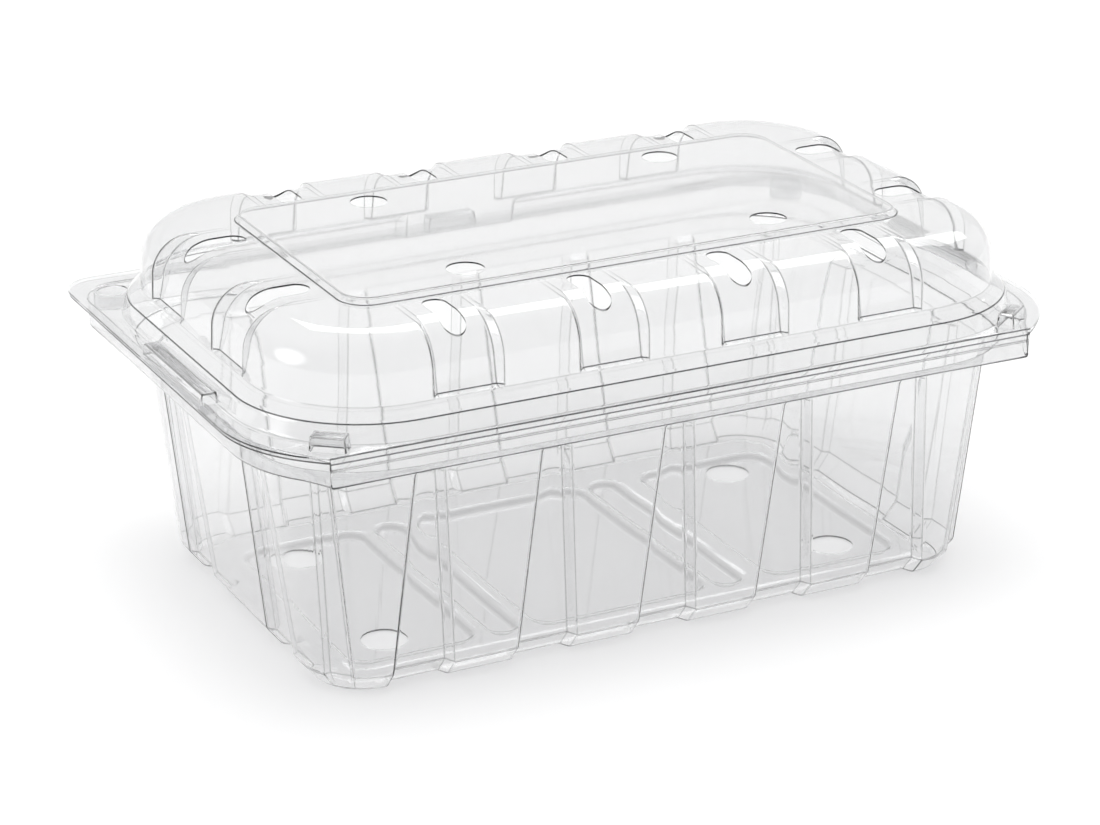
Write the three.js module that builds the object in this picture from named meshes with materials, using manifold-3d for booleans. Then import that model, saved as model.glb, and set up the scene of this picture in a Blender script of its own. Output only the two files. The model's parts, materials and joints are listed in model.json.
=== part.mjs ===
// A clear hinged fruit container: a ribbed tub and a domed lid, formed from one thin sheet and shut.
// Millimetres, +Z up. X runs along the hinge, the hinge is on the -Y side and the tub stands on z = 0.
import * as THREE from "three";
import { mergeVertices } from "three/addons/utils/BufferGeometryUtils.js";
import Module from "manifold-3d";

const wasm = await Module();
wasm.setup();

const sheet = 0.5; // thickness of the formed sheet
const touchGap = 0.3; // air between the two flanges

// Outlines are rounded rectangles: half length in X, reach to the near and the far side in Y, corner radii.
const flange = { x: 95.4, near: 64.1, far: 63.0, rNear: 30.2, rFar: 8 };
const rim = { x: 92.8, near: 62.0, far: 59.6, rNear: 29, rFar: 10 };
const hingeHalf = 82; // half length of the straight hinge strip
const hingeY = -59.1; // outer face of the hinge strip
const hingeFoldZ = 57.2; // height of the fold between the two leaves
const foldGap = 0.4;
const foldCut = { past: 0.2, front: 3, depth: 3.4 }; // room cleared in the tub's rim above its leaf
const beyond = 2; // how far a cutter runs past the face that it cuts

// Tub
const tubFoot = { x: 75.7, near: 44.3, r: 11, z: 0 };
const tubChamfer = { x: 79.15, near: 47.85, r: 14.5, z: 4.3 };
const tubWallTop = { x: 84.9, near: 52.0, r: 20.6, z: 49.6 };
const tubShoulder = { x: 85.0, near: 52.1, r: 20.6, z: 50.5 };
const tubLedge = { x: 87.6, near: 55.3, r: 23.7, z: 53.3 };
const tubFlangeZ = 59.3; // top face of the tub's flange
const grooveFace = 1.2; // run of a groove's slanted side
const longGroove = { count: 5, pitch: 28.65, halfTop: 3.3, halfFoot: 6.9, depth: 2.4 };
const endGroove = { at: 22.5, halfTop: 4.8, halfFoot: 7.0, depth: 1.6 };
const cornerGroove = { halfTop: 6, halfFoot: 13, face: 3, depth: 1.2 }; // degrees about the corner's diagonal

// Floor
const floorLift = 2.5; // height of the floor between the pads
const floorField = { x: 73.0, y: 40.7, xTop: 70.2, yTop: 37.9, r: 9 };
const floorPad = { y: 35.7, r: 4.5, midX: 24.8, endInner: 38.9, endOuter: 67.0 };
const floorBar = { x: 31.3, half: 2.4, y: 35.7 };
const floorHole = { x: 55.5, y: 23.4, r: 5.1 };

// Lid
const lidFlangeZ = tubFlangeZ + touchGap; // under face of the lid's flange
const lidRing = { x: 89.9, near: 57.25, r: 28.6 }; // outline of the raised ring round the dome
const ringFootIn = -1.0; // steps of the lid's section, inwards from that outline
const ringTop = { in: 0, z: 64.2 };
const domeFoot = { in: 2.6, z: 66.0 };
const panelFoot = { in: 3.05, z: 66.5 };
const panelEdge = { in: 3.1, z: 67.0 };
const shoulder = { in: 3.3, r: 8.5, steps: 4 };
const domeTopZ = 80.3;
const plateau = { in: 23.7, lift: 1.3, run: 0.9, r: 6.5 };
const panelDepth = [0, 1.3, 2.1, 2.4, 2.7, 3.0, 3.3, 3.5]; // from a panel's foot up to its top
const panelFace = 1.3;
const longPanels = [
  [-57.2, -41.6],
  [-24.4, -8.6],
  [8.6, 24.4],
  [41.6, 57.2],
];
const endPanels = [
  [-25.5, -8.9],
  [8.9, 25.5],
];
const longSlot = { in: 35.2, out: 49.2, half: 2.65 }; // vent slot over the head of each panel
const endSlot = { in: 68.2, out: 82.0, half: 3.1 };
const lidHole = { x: 36.2, y: 24.6, r: 4.1 };
const ringNotch = { half: 15, depth: 3.0, face: 1.5, share: [1, 0.87, 0.1] }; // finger room on the far side
const endLatch = { x: 92.35, y: -4.6, halfX: 1.65, halfY: 16.6, turn: 0, lift: 2.4, slope: 0.4 };
const farLatch = { x: 0, y: 60.4, halfX: 5.8, halfY: 1.5, turn: 0, lift: 2.6, slope: 0.4 };
const snapCup = { x: 86.6, y: 52.6, r: 3.6, depth: 3.2 };
const hingeBoss = { x: 80.1, y: -54.3, halfX: 3.6, halfY: 1.75, turn: 37.7, lift: 3.1, slope: 0.3 };

const holeSides = 28;
const cornerSteps = 8;
const slotSteps = 4; // sides in a quarter of a slot's round end
const padSteps = 4;
const hair = 0.01; // keeps the flat between two full round ends from shrinking to nothing

// ---------- solids ----------

function solidFrom(geometry) {
  const plain = geometry.index ? geometry.toNonIndexed() : geometry.clone();
  plain.deleteAttribute("normal");
  plain.deleteAttribute("uv");
  const merged = mergeVertices(plain, 1e-5);
  const corners = merged.index.array;
  const kept = [];
  for (let i = 0; i < corners.length; i += 3) {
    const [a, b, c] = [corners[i], corners[i + 1], corners[i + 2]];
    if (a !== b && b !== c && c !== a) kept.push(a, b, c);
  }
  return new wasm.Manifold(
    new wasm.Mesh({
      numProp: 3,
      vertProperties: Float32Array.from(merged.attributes.position.array),
      triVerts: Uint32Array.from(kept),
    }),
  );
}

function geometryFrom(solid) {
  const mesh = solid.getMesh();
  const all = new THREE.BufferGeometry();
  all.setAttribute(
    "position",
    new THREE.BufferAttribute(Float32Array.from(mesh.vertProperties), 3),
  );
  all.setIndex(new THREE.BufferAttribute(Uint32Array.from(mesh.triVerts), 1));
  const flat = all.toNonIndexed();
  flat.computeVertexNormals();
  return flat;
}

// A closed solid through stacked loops, each a list of [x, y, z], all with the same number of points.
function loft(loops) {
  const points = [];
  const add = (...corners) => corners.forEach((p) => points.push(...p));
  const count = loops[0].length;
  for (let i = 0; i + 1 < loops.length; i++)
    for (let j = 0; j < count; j++) {
      const k = (j + 1) % count;
      add(loops[i][j], loops[i][k], loops[i + 1][k]);
      add(loops[i][j], loops[i + 1][k], loops[i + 1][j]);
    }
  for (const [loop, up] of [
    [loops[0], false],
    [loops[loops.length - 1], true],
  ]) {
    const flat = loop.map(([x, y]) => new THREE.Vector2(x, y));
    for (const [a, b, c] of THREE.ShapeUtils.triangulateShape(flat, []))
      up ? add(loop[a], loop[b], loop[c]) : add(loop[c], loop[b], loop[a]);
  }
  const geometry = new THREE.BufferGeometry();
  geometry.setAttribute(
    "position",
    new THREE.BufferAttribute(new Float32Array(points), 3),
  );
  return solidFrom(geometry);
}

// A rounded rectangle about its own middle, as a closed list of points.
function roundedLoop(halfX, halfY, r, z, steps = 5, centre = [0, 0]) {
  const loop = [];
  for (const [sx, sy, from] of [
    [-1, -1, 180],
    [1, -1, 270],
    [1, 1, 0],
    [-1, 1, 90],
  ])
    for (let i = 0; i <= steps; i++) {
      const a = THREE.MathUtils.degToRad(from + (90 * i) / steps);
      loop.push([
        centre[0] + sx * (halfX - r) + r * Math.cos(a),
        centre[1] + sy * (halfY - r) + r * Math.sin(a),
        z,
      ]);
    }
  return loop;
}

const block = (x0, x1, y0, y1, z0, z1) =>
  solidFrom(
    new THREE.BoxGeometry(x1 - x0, y1 - y0, z1 - z0).translate(
      (x0 + x1) / 2,
      (y0 + y1) / 2,
      (z0 + z1) / 2,
    ),
  );

const pin = (x, y, r, z0, z1) =>
  solidFrom(
    new THREE.CylinderGeometry(r, r, z1 - z0, holeSides)
      .rotateX(Math.PI / 2)
      .translate(x, y, (z0 + z1) / 2),
  );

// A block, turned about the vertical, whose four sides lean in towards its top.
function raised({ x, y, halfX, halfY, turn, slope }, inset, z0, z1) {
  const a = THREE.MathUtils.degToRad(turn);
  const at = (grow, z) =>
    [
      [-1, -1],
      [1, -1],
      [1, 1],
      [-1, 1],
    ].map(([i, j]) => {
      const u = i * (halfX - inset + grow);
      const v = j * (halfY - inset + grow);
      return [x + u * Math.cos(a) - v * Math.sin(a), y + u * Math.sin(a) + v * Math.cos(a), z];
    });
  return loft([at(slope, z0), at(0, z1)]);
}

// ---------- columns round the outline ----------
// A column is a place on the outline: on a straight side it keeps its distance from the middle,
// in a corner it keeps its angle. "groove" is how far the tub's wall is pushed in there, and "cut"
// is 1 in a panel of the lid and 0 beside it.

const mix = (a, b, t) => a + (b - a) * t;
const grooveHeight = (z) =>
  THREE.MathUtils.clamp((z - tubChamfer.z) / (tubWallTop.z - tubChamfer.z), 0, 1);

function sideColumns(side, steps) {
  return steps
    .slice()
    .sort((a, b) => a.at(0) - b.at(0))
    .map((s) => ({ side, ...s }));
}

function grooveSteps(centre, { halfTop, halfFoot, depth }) {
  const half = (z) => mix(halfFoot, halfTop, grooveHeight(z));
  return [
    { at: (z) => centre - half(z), groove: 0 },
    { at: (z) => centre - half(z) + grooveFace, groove: depth },
    { at: (z) => centre + half(z) - grooveFace, groove: depth },
    { at: (z) => centre + half(z), groove: 0 },
  ];
}

function tubColumns() {
  const long = [];
  const middle = (longGroove.count - 1) / 2;
  for (let i = 0; i < longGroove.count; i++)
    long.push(...grooveSteps((i - middle) * longGroove.pitch, longGroove));
  const end = [-endGroove.at, endGroove.at].flatMap((c) => grooveSteps(c, endGroove));
  const corner = [];
  const half = (z) =>
    mix(cornerGroove.halfFoot, cornerGroove.halfTop, grooveHeight(z));
  const edge = (sign, off) => (z) => 45 + sign * (half(z) - off);
  const { face, depth } = cornerGroove;
  for (const part of [0, 1 / 3, 2 / 3])
    corner.push({ angle: (z) => edge(-1, 0)(z) * part, groove: 0 });
  corner.push({ angle: edge(-1, 0), groove: 0 });
  corner.push({ angle: edge(-1, face), groove: depth });
  corner.push({ angle: () => 45, groove: depth });
  corner.push({ angle: edge(1, face), groove: depth });
  corner.push({ angle: edge(1, 0), groove: 0 });
  for (const part of [2 / 3, 1 / 3, 0])
    corner.push({ angle: (z) => 90 - edge(-1, 0)(z) * part, groove: 0 });
  return ringOfColumns(long, end, long, end, corner);
}

function panelSteps(panels) {
  return panels.flatMap(([a, b]) => [
    { at: () => a, cut: 0 },
    { at: () => a + panelFace, cut: 1 },
    { at: () => b - panelFace, cut: 1 },
    { at: () => b, cut: 0 },
  ]);
}

function lidColumns() {
  const long = panelSteps(longPanels);
  const end = panelSteps(endPanels);
  const notch = [-1, 1].flatMap((s) => [
    { at: () => s * (ringNotch.half - ringNotch.face), notch: 1 },
    { at: () => s * ringNotch.half, notch: 0 },
  ]);
  // panels and notch overlap, so every far column knows about both
  const inside = (x) => longPanels.some(([a, b]) => x > a && x < b);
  const far = [...long, ...notch].map((s) => ({
    at: s.at,
    cut: inside(s.at(0)) ? 1 : 0,
    notch: s.notch ?? (Math.abs(s.at(0)) < ringNotch.half ? 1 : 0),
  }));
  const corner = [];
  for (let i = 0; i <= cornerSteps; i++)
    corner.push({ angle: () => (90 * i) / cornerSteps, cut: 0 });
  return ringOfColumns(long, end, far, end, corner);
}

// Front side, near right corner, right side, far right corner, back, and so on, anticlockwise from above.
function ringOfColumns(front, right, back, left, corner) {
  const parts = [front, right, back, left];
  return parts.flatMap((steps, side) => [
    ...sideColumns(side, steps),
    ...corner.map((c, i) => ({
      corner: side,
      last: side === 0 ? i === 0 : side === 3 ? i === corner.length - 1 : false,
      next: side === 0 ? i === 1 : side === 3 ? i === corner.length - 2 : false,
      ...c,
    })),
  ]);
}

// The point of one column on an outline. o: x, near, far, rNear, rFar.
function place(column, o, z, push) {
  const cut = push ? push(column) : 0;
  if (column.side !== undefined) {
    const u = column.at(z);
    switch (column.side) {
      case 0:
        return [u, -o.near + cut, z];
      case 1:
        return [o.x - cut, u, z];
      case 2:
        return [-u, o.far - cut, z];
      default:
        return [-o.x + cut, -u, z];
    }
  }
  const near = column.corner === 0 || column.corner === 3;
  const r = near ? o.rNear : o.rFar;
  const sx = column.corner < 2 ? 1 : -1;
  const sy = near ? -1 : 1;
  const reachY = near ? o.near : o.far;
  const a = THREE.MathUtils.degToRad(
    [270, 0, 90, 180][column.corner] + column.angle(z),
  );
  const reach = r - cut;
  return [
    sx * (o.x - r) + reach * Math.cos(a),
    sy * (reachY - r) + reach * Math.sin(a),
    z,
  ];
}

const loopOn = (columns, o, z, push) =>
  columns.map((c) => place(c, o, z, push));

const even = ({ x, near, r }, inset = 0) => ({
  x: x - inset,
  near: near - inset,
  far: near - inset,
  rNear: r - inset,
  rFar: r - inset,
});

// The rim and the flanges end in a square step at each end of the hinge strip.
function hingedLoop(columns, o, z, inset) {
  const q = {
    x: o.x - inset,
    near: o.near - inset,
    far: o.far - inset,
    rNear: o.rNear - inset,
    rFar: o.rFar - inset,
  };
  const front = hingeY + inset;
  const endX = hingeHalf - inset;
  const cx = q.x - q.rNear;
  const cy = -q.near + q.rNear;
  const reachAngle = Math.min(
    Math.acos(THREE.MathUtils.clamp((endX - cx) / q.rNear, 0, 1)),
    Math.asin(THREE.MathUtils.clamp((cy - front) / q.rNear, 0, 1)),
  );
  return columns.map((c) => {
    if (c.side === 0) return [c.at(z), front, z];
    const near = c.corner === 0 || c.corner === 3;
    if (!near) return place(c, q, z);
    const sx = c.corner === 0 ? 1 : -1;
    if (c.last) return [sx * endX, front, z];
    // spread the other corner columns over the arc that is left
    const whole = c.corner === 0 ? 90 - c.angle(z) : c.angle(z);
    const used = c.corner === 0 ? 90 - c.nextAngle(z) : c.nextAngle(z);
    const a = reachAngle * Math.min(whole / used, 1);
    return [
      sx * (cx + q.rNear * Math.cos(a)),
      cy - q.rNear * Math.sin(a),
      z,
    ];
  });
}

// Each corner column knows where the one beside the hinge end lies, so that the arc ends there.
function withNeighbours(columns) {
  for (const side of [0, 3]) {
    const beside = columns.find((c) => c.corner === side && c.next);
    for (const c of columns)
      if (c.corner === side) c.nextAngle = beside.angle;
  }
  return columns;
}

// ---------- tub ----------

function tubSolid() {
  const columns = withNeighbours(tubColumns());
  const groove = (c) => c.groove;
  const footGroove = (c) => (c.side === undefined ? 0 : c.groove);
  const walls = (t) => [
    loopOn(columns, even(tubFoot, t), tubFoot.z + t, footGroove),
    loopOn(columns, even(tubChamfer, t), tubChamfer.z + t / 2, groove),
    loopOn(columns, even(tubWallTop, t), tubWallTop.z, groove),
    loopOn(columns, even(tubShoulder, t), tubShoulder.z),
    loopOn(columns, even(tubLedge, t), tubLedge.z + t),
  ];
  const flangeUnder = tubFlangeZ - sheet;
  const tubFlange = {
    ...flange,
    x: flange.x - touchGap,
    near: flange.near - touchGap,
    far: flange.far - touchGap,
    rNear: flange.rNear - touchGap,
  };
  const outside = loft([
    ...walls(0),
    hingedLoop(columns, rim, tubLedge.z, 0),
    hingedLoop(columns, rim, flangeUnder, 0),
    hingedLoop(columns, tubFlange, flangeUnder, 0),
    hingedLoop(columns, tubFlange, tubFlangeZ, 0),
  ]);
  const inside = loft([
    ...walls(sheet),
    hingedLoop(columns, rim, tubLedge.z + sheet, sheet),
    hingedLoop(columns, rim, tubFlangeZ + beyond, sheet),
  ]);
  const frontCut = block(
    -hingeHalf - foldCut.past,
    hingeHalf + foldCut.past,
    hingeY - foldCut.front,
    hingeY + foldCut.depth,
    hingeFoldZ - foldGap / 2,
    tubFlangeZ + beyond,
  );
  return outside
    .subtract(floorField3d(0))
    .subtract(inside.subtract(floorField3d(sheet)))
    .subtract(frontCut)
    .subtract(floorHoles());
}

// The lifted part of the floor, between the pads and bars that reach down to the table.
function floorField3d(t) {
  const f = floorField;
  const p = floorPad;
  const top = floorLift + t;
  let field = loft([
    roundedLoop(f.x + t, f.y + t, f.r, t - beyond),
    roundedLoop(f.x + t, f.y + t, f.r, t),
    roundedLoop(f.xTop + t, f.yTop + t, f.r, top),
  ]);
  const pads = [
    [0, p.midX],
    [(p.endInner + p.endOuter) / 2, (p.endOuter - p.endInner) / 2],
    [-(p.endInner + p.endOuter) / 2, (p.endOuter - p.endInner) / 2],
  ];
  for (const [x, half] of pads)
    field = field.subtract(
      loft([
        roundedLoop(half - t, p.y - t, p.r - t, -beyond - t, padSteps, [x, 0]),
        roundedLoop(half - t, p.y - t, p.r - t, top + beyond, padSteps, [x, 0]),
      ]),
    );
  for (const x of [-floorBar.x, floorBar.x]) {
    const half = floorBar.half - t;
    field = field.subtract(
      loft([
        roundedLoop(half, floorBar.y - t, half - hair, -beyond - t, padSteps, [x, 0]),
        roundedLoop(half, floorBar.y - t, half - hair, top + beyond, padSteps, [x, 0]),
      ]),
    );
  }
  return field;
}

function floorHoles() {
  let holes = null;
  for (const x of [-1, 1])
    for (const y of [-1, 1]) {
      const one = pin(
        x * floorHole.x,
        y * floorHole.y,
        floorHole.r,
        -beyond,
        floorLift + beyond,
      );
      holes = holes ? holes.add(one) : one;
    }
  return holes;
}

// ---------- lid ----------

// The lid's section as [inwards from the ring's outline, height, push of the panels].
function lidSection() {
  const line = [
    [ringFootIn, lidFlangeZ + sheet, 0],
    [ringTop.in, ringTop.z, 0],
    [domeFoot.in, domeFoot.z, 0],
    [panelFoot.in, panelFoot.z, panelDepth[0]],
    [panelEdge.in, panelEdge.z, panelDepth[1]],
  ];
  const middleZ = domeTopZ - shoulder.r;
  for (let i = 0; i <= shoulder.steps; i++) {
    const a = ((Math.PI / 2) * i) / shoulder.steps;
    line.push([
      shoulder.in + shoulder.r * (1 - Math.cos(a)),
      middleZ + shoulder.r * Math.sin(a),
      panelDepth[2 + i],
    ]);
  }
  line.push([plateau.in, domeTopZ, 0]);
  line.push([plateau.in + plateau.run, domeTopZ + plateau.lift, 0]);
  return line;
}

// The same section moved by t towards the inside of the lid.
function insetSection(line, t) {
  return line.map(([x, z, push], i) => {
    const before = line[Math.max(i - 1, 0)];
    const after = line[Math.min(i + 1, line.length - 1)];
    const normal = (a, b) => {
      const length = Math.hypot(b[0] - a[0], b[1] - a[1]);
      return [(b[1] - a[1]) / length, -(b[0] - a[0]) / length];
    };
    const n1 = i ? normal(before, line[i]) : normal(line[i], after);
    const last = i === line.length - 1;
    const n2 = last ? [0, -1] : normal(line[i], after);
    const sum = [n1[0] + n2[0], n1[1] + n2[1]];
    const scale = (2 * t) / (sum[0] * sum[0] + sum[1] * sum[1]);
    return [x + sum[0] * scale, z + sum[1] * scale, push];
  });
}

function lidSolid() {
  const columns = withNeighbours(lidColumns());
  const section = lidSection();
  const stack = (line) =>
    line.map(([inwards, z, panel], i) => {
      const o = even(lidRing, inwards);
      o.rNear = o.rFar = Math.max(o.rNear, plateau.r);
      const ring = ringNotch.depth * (ringNotch.share[i] ?? 0);
      const push = (c) => (c.cut ?? 0) * panel + (c.notch ?? 0) * ring;
      return loopOn(columns, o, z, push);
    });
  const bars = (t) => {
    const z0 = lidFlangeZ + (t > 0 ? -sheet : sheet / 2);
    const top = lidFlangeZ + sheet;
    const mirror = (b) => ({ ...b, x: -b.x, turn: -b.turn });
    const forms = [endLatch, mirror(endLatch), farLatch, hingeBoss, mirror(hingeBoss)];
    return forms.map((b) => raised(b, t, z0, top + b.lift - t));
  };
  let outside = loft([
    hingedLoop(columns, flange, lidFlangeZ, 0),
    hingedLoop(columns, flange, lidFlangeZ + sheet, 0),
    ...stack(section),
  ]);
  for (const b of bars(0)) outside = outside.add(b);
  const under = insetSection(section, sheet);
  const foot = [under[0][0], lidFlangeZ - beyond, 0];
  let inside = loft(stack([foot, ...under.slice(1)]));
  for (const b of bars(sheet)) inside = inside.add(b);
  const leaf = block(
    -hingeHalf + foldCut.past / 2,
    hingeHalf - foldCut.past / 2,
    hingeY,
    hingeY + sheet,
    hingeFoldZ + foldGap / 2,
    lidFlangeZ + sheet,
  );
  let lid = outside.subtract(inside).add(leaf);
  for (const s of [-1, 1]) {
    const { x, y, r, depth } = snapCup;
    const top = lidFlangeZ + sheet;
    lid = lid
      .add(pin(s * x, y, r + sheet, top - depth - sheet, lidFlangeZ + sheet / 2))
      .subtract(pin(s * x, y, r, top - depth, top + beyond));
  }
  return lid.subtract(lidVents());
}

function lidVents() {
  const [low, high] = [ringTop.z, domeTopZ + plateau.lift + beyond];
  const cuts = [];
  for (const x of [-1, 1])
    for (const y of [-1, 1])
      cuts.push(pin(x * lidHole.x, y * lidHole.y, lidHole.r, low, high));
  const slot = (cx, cy, halfX, halfY) => {
    const r = Math.min(halfX, halfY) - hair;
    return loft([
      roundedLoop(halfX, halfY, r, low, slotSteps, [cx, cy]),
      roundedLoop(halfX, halfY, r, high, slotSteps, [cx, cy]),
    ]);
  };
  for (const s of [-1, 1]) {
    const along = (v) => (v.in + v.out) / 2;
    const reach = (v) => (v.out - v.in) / 2;
    for (const [a, b] of longPanels)
      cuts.push(
        slot((a + b) / 2, s * along(longSlot), longSlot.half, reach(longSlot)),
      );
    for (const [a, b] of endPanels)
      cuts.push(
        slot(s * along(endSlot), (a + b) / 2, reach(endSlot), endSlot.half),
      );
  }
  return cuts.reduce((all, one) => all.add(one));
}

// ---------- the container ----------

const clear = { color: 0xe9edee, roughness: 0.08, metalness: 0 };
const group = new THREE.Group();
for (const [name, solid] of [
  ["tub", tubSolid()],
  ["lid", lidSolid()],
]) {
  const mesh = new THREE.Mesh(
    geometryFrom(solid),
    new THREE.MeshStandardMaterial({
      ...clear,
      transparent: true,
      opacity: 0.35,
    }),
  );
  mesh.name = name;
  group.add(mesh);
}

export default group;
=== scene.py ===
import json
import math

import bmesh
import bpy
import numpy as np
from mathutils import Matrix, Vector
from mathutils.geometry import delaunay_2d_cdt


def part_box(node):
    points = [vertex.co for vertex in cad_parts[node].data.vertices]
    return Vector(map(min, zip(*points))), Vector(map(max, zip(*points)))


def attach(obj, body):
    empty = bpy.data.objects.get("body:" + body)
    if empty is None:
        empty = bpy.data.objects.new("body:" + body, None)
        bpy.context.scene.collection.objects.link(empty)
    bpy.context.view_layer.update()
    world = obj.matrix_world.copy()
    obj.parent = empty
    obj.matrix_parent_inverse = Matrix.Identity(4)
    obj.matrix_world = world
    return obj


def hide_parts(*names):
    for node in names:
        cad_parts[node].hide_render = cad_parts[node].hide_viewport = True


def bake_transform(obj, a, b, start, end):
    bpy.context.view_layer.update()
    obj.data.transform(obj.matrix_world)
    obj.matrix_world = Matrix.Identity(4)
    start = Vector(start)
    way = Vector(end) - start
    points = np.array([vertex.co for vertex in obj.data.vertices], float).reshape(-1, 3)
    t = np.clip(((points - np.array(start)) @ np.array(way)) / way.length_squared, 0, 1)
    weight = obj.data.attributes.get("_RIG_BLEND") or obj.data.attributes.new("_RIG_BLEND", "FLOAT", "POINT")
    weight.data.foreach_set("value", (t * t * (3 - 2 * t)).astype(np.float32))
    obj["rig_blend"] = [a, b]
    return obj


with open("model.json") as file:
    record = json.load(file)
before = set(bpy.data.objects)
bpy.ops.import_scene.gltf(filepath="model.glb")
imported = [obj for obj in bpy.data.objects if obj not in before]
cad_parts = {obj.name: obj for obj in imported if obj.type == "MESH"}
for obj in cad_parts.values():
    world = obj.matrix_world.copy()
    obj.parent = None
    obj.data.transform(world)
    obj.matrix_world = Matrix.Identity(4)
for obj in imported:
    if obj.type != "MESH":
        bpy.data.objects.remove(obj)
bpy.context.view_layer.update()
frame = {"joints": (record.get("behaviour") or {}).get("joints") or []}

mm = 0.001
touch = 0.01  # two places closer than this, in millimetres, count as one
tiny = 1e-6
noLength = 1e-9  # keeps a line of no length from dividing by zero
sliver = 0.001  # straight side left in a full round, so that no two of its points meet
weldDistance = 1e-7  # metres
hinge = frame["joints"][0]
hingeY = hinge["pos_m"][1] / mm
foldZ = hinge["pos_m"][2] / mm
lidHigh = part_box("lid")[1]

# Sizes that both sheets share, in millimetres. An outline is half its length, its reach towards the hinge
# and away from it, and the radii of its corners on those two sides.
sheet = {
    "thickness": 0.35,
    "hingeHalf": 82.0,  # half the length of the hinge strip
    "foldGap": 0.4,  # between its two leaves
    "flange": {"x": lidHigh.x / mm, "near": 64.1, "far": lidHigh.y / mm, "rNear": 30.2, "rFar": 8.0},
    "rim": {"x": 92.8, "near": 62.0, "far": 59.6, "rNear": 29.0, "rFar": 10.0},
    "arcSteps": 26,  # columns in a quarter turn
    "bendShare": 0.48,  # a bend takes no more of the sheet beside it than this share
    "bendLength": 1.8,  # how long a bend is round, in its radii
    "creaseHalf": 0.23,  # half width of the painted dark line along a crease
    "creaseMost": 0.4,  # and the most of its bend that this half takes
    "edgeShade": 0.4,  # how dark the painted shade on the sheet's outer cut edge is, beside the vents' cut edges at 1
    "foldFrom": 6.0,  # a turn of the sheet, in degrees, that starts to show as a painted dark line
    "foldTo": 34.0,
    "flareRun": 6.0,  # the rim swings out to the end of the hinge strip over this length
    "flareShare": 0.85,  # and by this share of the way
    "sharpFrom": 38.0,  # a turn, in degrees, from which an edge is shaded sharp
}


def shrunk(outline, inset):
    return {name: value - inset for name, value in outline.items()}


# An outline that is the same on the hinge's side and on the far side.
def evenOutline(x, near, r, inset=0.0):
    return shrunk({"x": x, "near": near, "far": near, "rNear": r, "rFar": r}, inset)


# A column keeps its place along a straight side, or its angle in a corner, all the way up a sheet.
# The corners at the hinge also know which column comes next to the strip's end.
def ringOfColumns(front, right, back, left, corner):
    columns = []
    for side, steps in enumerate((front, right, back, left)):
        for step in sorted(steps, key=lambda s: s["at"](0)):
            columns.append({**step, "side": side})
        for i, step in enumerate(corner):
            column = {**step, "corner": side}
            if side == 0:
                column["last"], column["next"] = i == 0, i == 1
            if side == 3:
                column["last"], column["next"] = i == len(corner) - 1, i == len(corner) - 2
            columns.append(column)
    for side in (0, 3):
        beside = next(c for c in columns if c.get("corner") == side and c["next"])
        for column in columns:
            if column.get("corner") == side:
                column["nextAngle"] = beside["angle"]
    return columns


# Where a column crosses an outline, pushed inward by a groove or a panel.
def placeColumn(column, o, z, push=0.0):
    if "side" in column:
        u = column["at"](z)
        return [
            (u, -o["near"] + push, z),
            (o["x"] - push, u, z),
            (-u, o["far"] - push, z),
            (-o["x"] + push, -u, z),
        ][column["side"]]
    near = column["corner"] in (0, 3)
    r = o["rNear"] if near else o["rFar"]
    reachY = o["near"] if near else o["far"]
    sx = 1 if column["corner"] < 2 else -1
    sy = -1 if near else 1
    a = math.radians((270, 0, 90, 180)[column["corner"]] + column["angle"](z))
    return (sx * (o["x"] - r) + (r - push) * math.cos(a), sy * (reachY - r) + (r - push) * math.sin(a), z)


def outlineRow(columns, o, z, push=None):
    return [placeColumn(c, o, z, push(c) if push else 0.0) for c in columns]


# The rim and the flanges end square at the ends of the hinge strip, with a soft swing outward before it.
def hingedRow(columns, outline, z, inset=0.0):
    o = shrunk(outline, inset)
    front = hingeY + inset
    endX = sheet["hingeHalf"] - inset
    cx = o["x"] - o["rNear"]
    cy = -o["near"] + o["rNear"]
    reach = min(
        math.acos(min(max((endX - cx) / o["rNear"], 0), 1)),
        math.asin(min(max((cy - front) / o["rNear"], 0), 1)),
    )
    flareX = endX - cx - o["rNear"] * math.cos(reach)
    flareY = front - cy + o["rNear"] * math.sin(reach)
    row = []
    for c in columns:
        if c.get("side") == 0:
            row.append((c["at"](z), front, z))
        elif "side" in c or c["corner"] in (1, 2):
            row.append(placeColumn(c, o, z))
        elif c["last"]:
            row.append((endX if c["corner"] == 0 else -endX, front, z))
        else:
            sx = 1 if c["corner"] == 0 else -1
            whole = 90 - c["angle"](z) if c["corner"] == 0 else c["angle"](z)
            used = 90 - c["nextAngle"](z) if c["corner"] == 0 else c["nextAngle"](z)
            a = reach * min(whole / used, 1)
            near = max(1 - o["rNear"] * (reach - a) / sheet["flareRun"], 0)
            pull = sheet["flareShare"] * near * near
            x = cx + o["rNear"] * math.cos(a) + flareX * pull
            row.append((sx * x, cy - o["rNear"] * math.sin(a) + flareY * pull, z))
    return row


def easeStep(t):
    t = np.clip(t, 0, 1)
    return t * t * (3 - 2 * t)


# A bend is its radius and how dark the painted shade along its crease is.
plain = (0, 0)


# Places across a rounded crease, from 0 to 1, with its painted dark line in the middle.
def bendPlaces(radius):
    reach = min(sheet["creaseHalf"] / (sheet["bendLength"] * radius), sheet["creaseMost"])
    low = 0.5 - reach
    return 0, low / 2, low, 0.5, 1 - low, 1 - low / 2, 1
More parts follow.
